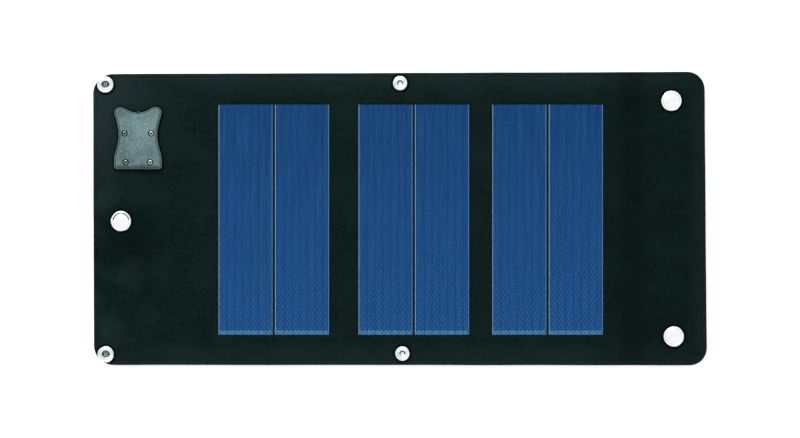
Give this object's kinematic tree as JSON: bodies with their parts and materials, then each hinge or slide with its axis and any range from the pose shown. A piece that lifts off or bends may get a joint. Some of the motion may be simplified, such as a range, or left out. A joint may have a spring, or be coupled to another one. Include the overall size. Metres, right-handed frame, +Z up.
{
  "type": "folding fabric solar panel",
  "caption": "Flat folding solar panel: blue cell strips set in windows of black coated fabric, with fabric spines, end flaps, bright press fasteners and a small waisted junction box.",
  "frame": {"origin": "centre of the flat panel's outline, on the surface that the backs of its fasteners rest on", "axes": "+X along the panel from the flap with the junction box to the plain flap, +Y across the panel towards the box's horned edge, +Z up, out of the cells"},
  "size_m": [0.443, 0.211, 0.0112],
  "materials": {
    "front_fabric": "fine-grained black coated fabric over foam, sealed along its edges",
    "back_fabric": "black woven nylon with a thin coating",
    "silicon_cells": "deep blue laminated thin silicon strips with fine contact lines",
    "clear_film": "clear embossed fluoropolymer film",
    "board_laminate": "thin green glass-fibre laminate",
    "flat_conductor": "amber insulated flat copper conductor",
    "nickel": "bright nickel-plated brass",
    "screw_steel": "bright zinc-plated steel",
    "moulded_plastic": "fine-grained grey-green moulding",
    "black_plastic": "satin black moulding"
  },
  "bodies": {
    "section_1": {"front_cover_section_1": "front_fabric", "back_cover_section_1": "back_fabric", "backing_board_section_1": "board_laminate", "solar_cell_1a": "silicon_cells", "solar_cell_1b": "silicon_cells", "clear_film_section_1": "clear_film"},
    "left_spine": {"spine_left": "front_fabric", "flat_cable_left": "flat_conductor"},
    "left_flap": {"front_cover_left_flap": "front_fabric", "back_cover_left_flap": "back_fabric", "flat_cable_flap": "flat_conductor", "junction_cover": "moulded_plastic", "junction_back_plate": "moulded_plastic", "junction_screw_1": "screw_steel", "junction_screw_2": "screw_steel", "junction_screw_3": "screw_steel", "junction_screw_4": "screw_steel", "circuit_board": "board_laminate", "blocking_diode": "black_plastic", "dc_inlet_shell": "black_plastic", "dc_inlet_pin": "nickel", "press_cap_left": "nickel", "press_socket_left": "nickel", "corner_socket_upper": "nickel", "corner_socket_lower": "nickel", "corner_cap_upper": "nickel", "corner_cap_lower": "nickel"},
    "middle_spine": {"spine_middle": "front_fabric", "flat_cable_middle": "flat_conductor"},
    "section_2": {"front_cover_section_2": "front_fabric", "back_cover_section_2": "back_fabric", "backing_board_section_2": "board_laminate", "solar_cell_2a": "silicon_cells", "solar_cell_2b": "silicon_cells", "clear_film_section_2": "clear_film", "eyelet_upper": "nickel", "eyelet_lower": "nickel", "stud_upper": "nickel", "stud_lower": "nickel"},
    "right_spine": {"spine_right": "front_fabric", "flat_cable_right": "flat_conductor"},
    "section_3": {"front_cover_section_3": "front_fabric", "back_cover_section_3": "back_fabric", "backing_board_section_3": "board_laminate", "solar_cell_3a": "silicon_cells", "solar_cell_3b": "silicon_cells", "clear_film_section_3": "clear_film"},
    "end_spine": {"spine_end": "front_fabric"},
    "right_flap": {"front_cover_right_flap": "front_fabric", "back_cover_right_flap": "back_fabric", "press_cap_upper": "nickel", "press_cap_lower": "nickel", "press_socket_upper": "nickel", "press_socket_lower": "nickel"}
  },
  "joints": [
    {"name": "left_crease_inner", "type": "hinge", "parent": "section_1", "child": "left_spine", "pos_m": [-0.1346, 0, 0.005], "axis": [0, 1, 0], "range_deg": [0, 90]},
    {"name": "left_crease_outer", "type": "hinge", "parent": "left_spine", "child": "left_flap", "pos_m": [-0.1549, 0, 0.005], "axis": [0, 1, 0], "range_deg": [0, 90]},
    {"name": "middle_crease_inner", "type": "hinge", "parent": "section_1", "child": "middle_spine", "pos_m": [-0.0436, 0, 0.005], "axis": [0, -1, 0], "range_deg": [0, 90]},
    {"name": "middle_crease_outer", "type": "hinge", "parent": "middle_spine", "child": "section_2", "pos_m": [-0.0324, 0, 0.005], "axis": [0, -1, 0], "range_deg": [0, 90]},
    {"name": "right_crease_inner", "type": "hinge", "parent": "section_2", "child": "right_spine", "pos_m": [0.0555, 0, 0.005], "axis": [0, -1, 0], "range_deg": [0, 90]},
    {"name": "right_crease_outer", "type": "hinge", "parent": "right_spine", "child": "section_3", "pos_m": [0.0639, 0, 0.005], "axis": [0, -1, 0], "range_deg": [0, 90]},
    {"name": "end_crease_inner", "type": "hinge", "parent": "section_3", "child": "end_spine", "pos_m": [0.1487, 0, 0.005], "axis": [0, -1, 0], "range_deg": [0, 90]},
    {"name": "end_crease_outer", "type": "hinge", "parent": "end_spine", "child": "right_flap", "pos_m": [0.1517, 0, 0.005], "axis": [0, -1, 0], "range_deg": [0, 90]}
  ]
}
